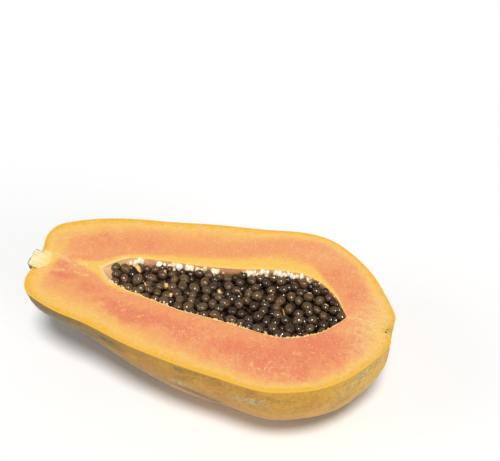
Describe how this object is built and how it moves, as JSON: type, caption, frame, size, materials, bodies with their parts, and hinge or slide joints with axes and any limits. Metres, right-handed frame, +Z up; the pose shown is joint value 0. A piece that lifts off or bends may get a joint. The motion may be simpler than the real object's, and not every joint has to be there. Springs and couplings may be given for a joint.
{
  "type": "papaya half",
  "caption": "Ripe papaya cut lengthways, one half lying on its rounded back, with the seeds still in its cavity and half the stalk stub at its stem end.",
  "frame": {"origin": "middle of the bounding box's bottom face, on the surface that the half fruit rests on", "axes": "+X from the stem end to the blossom end, +Z up out of the cut face, +Y across the fruit to the wall that carries the white ovules"},
  "size_m": [0.2342, 0.1328, 0.0688],
  "materials": {
    "flesh": "moist orange flesh, yellow towards the skin and salmon towards the seed cavity",
    "skin": "satin ochre skin with olive patches, grey scars and brown freckles",
    "seed": "glossy dark olive-brown seed in a thin wet coat",
    "ovule": "soft white unripe ovules",
    "fibre": "pale torn placenta fibres",
    "stalk": "cream cut stalk with a green-brown rind"
  },
  "bodies": {
    "root": {"fruit_half": "flesh", "ripe_seeds": "seed", "stalk_stub": "stalk"}
  },
  "joints": []
}
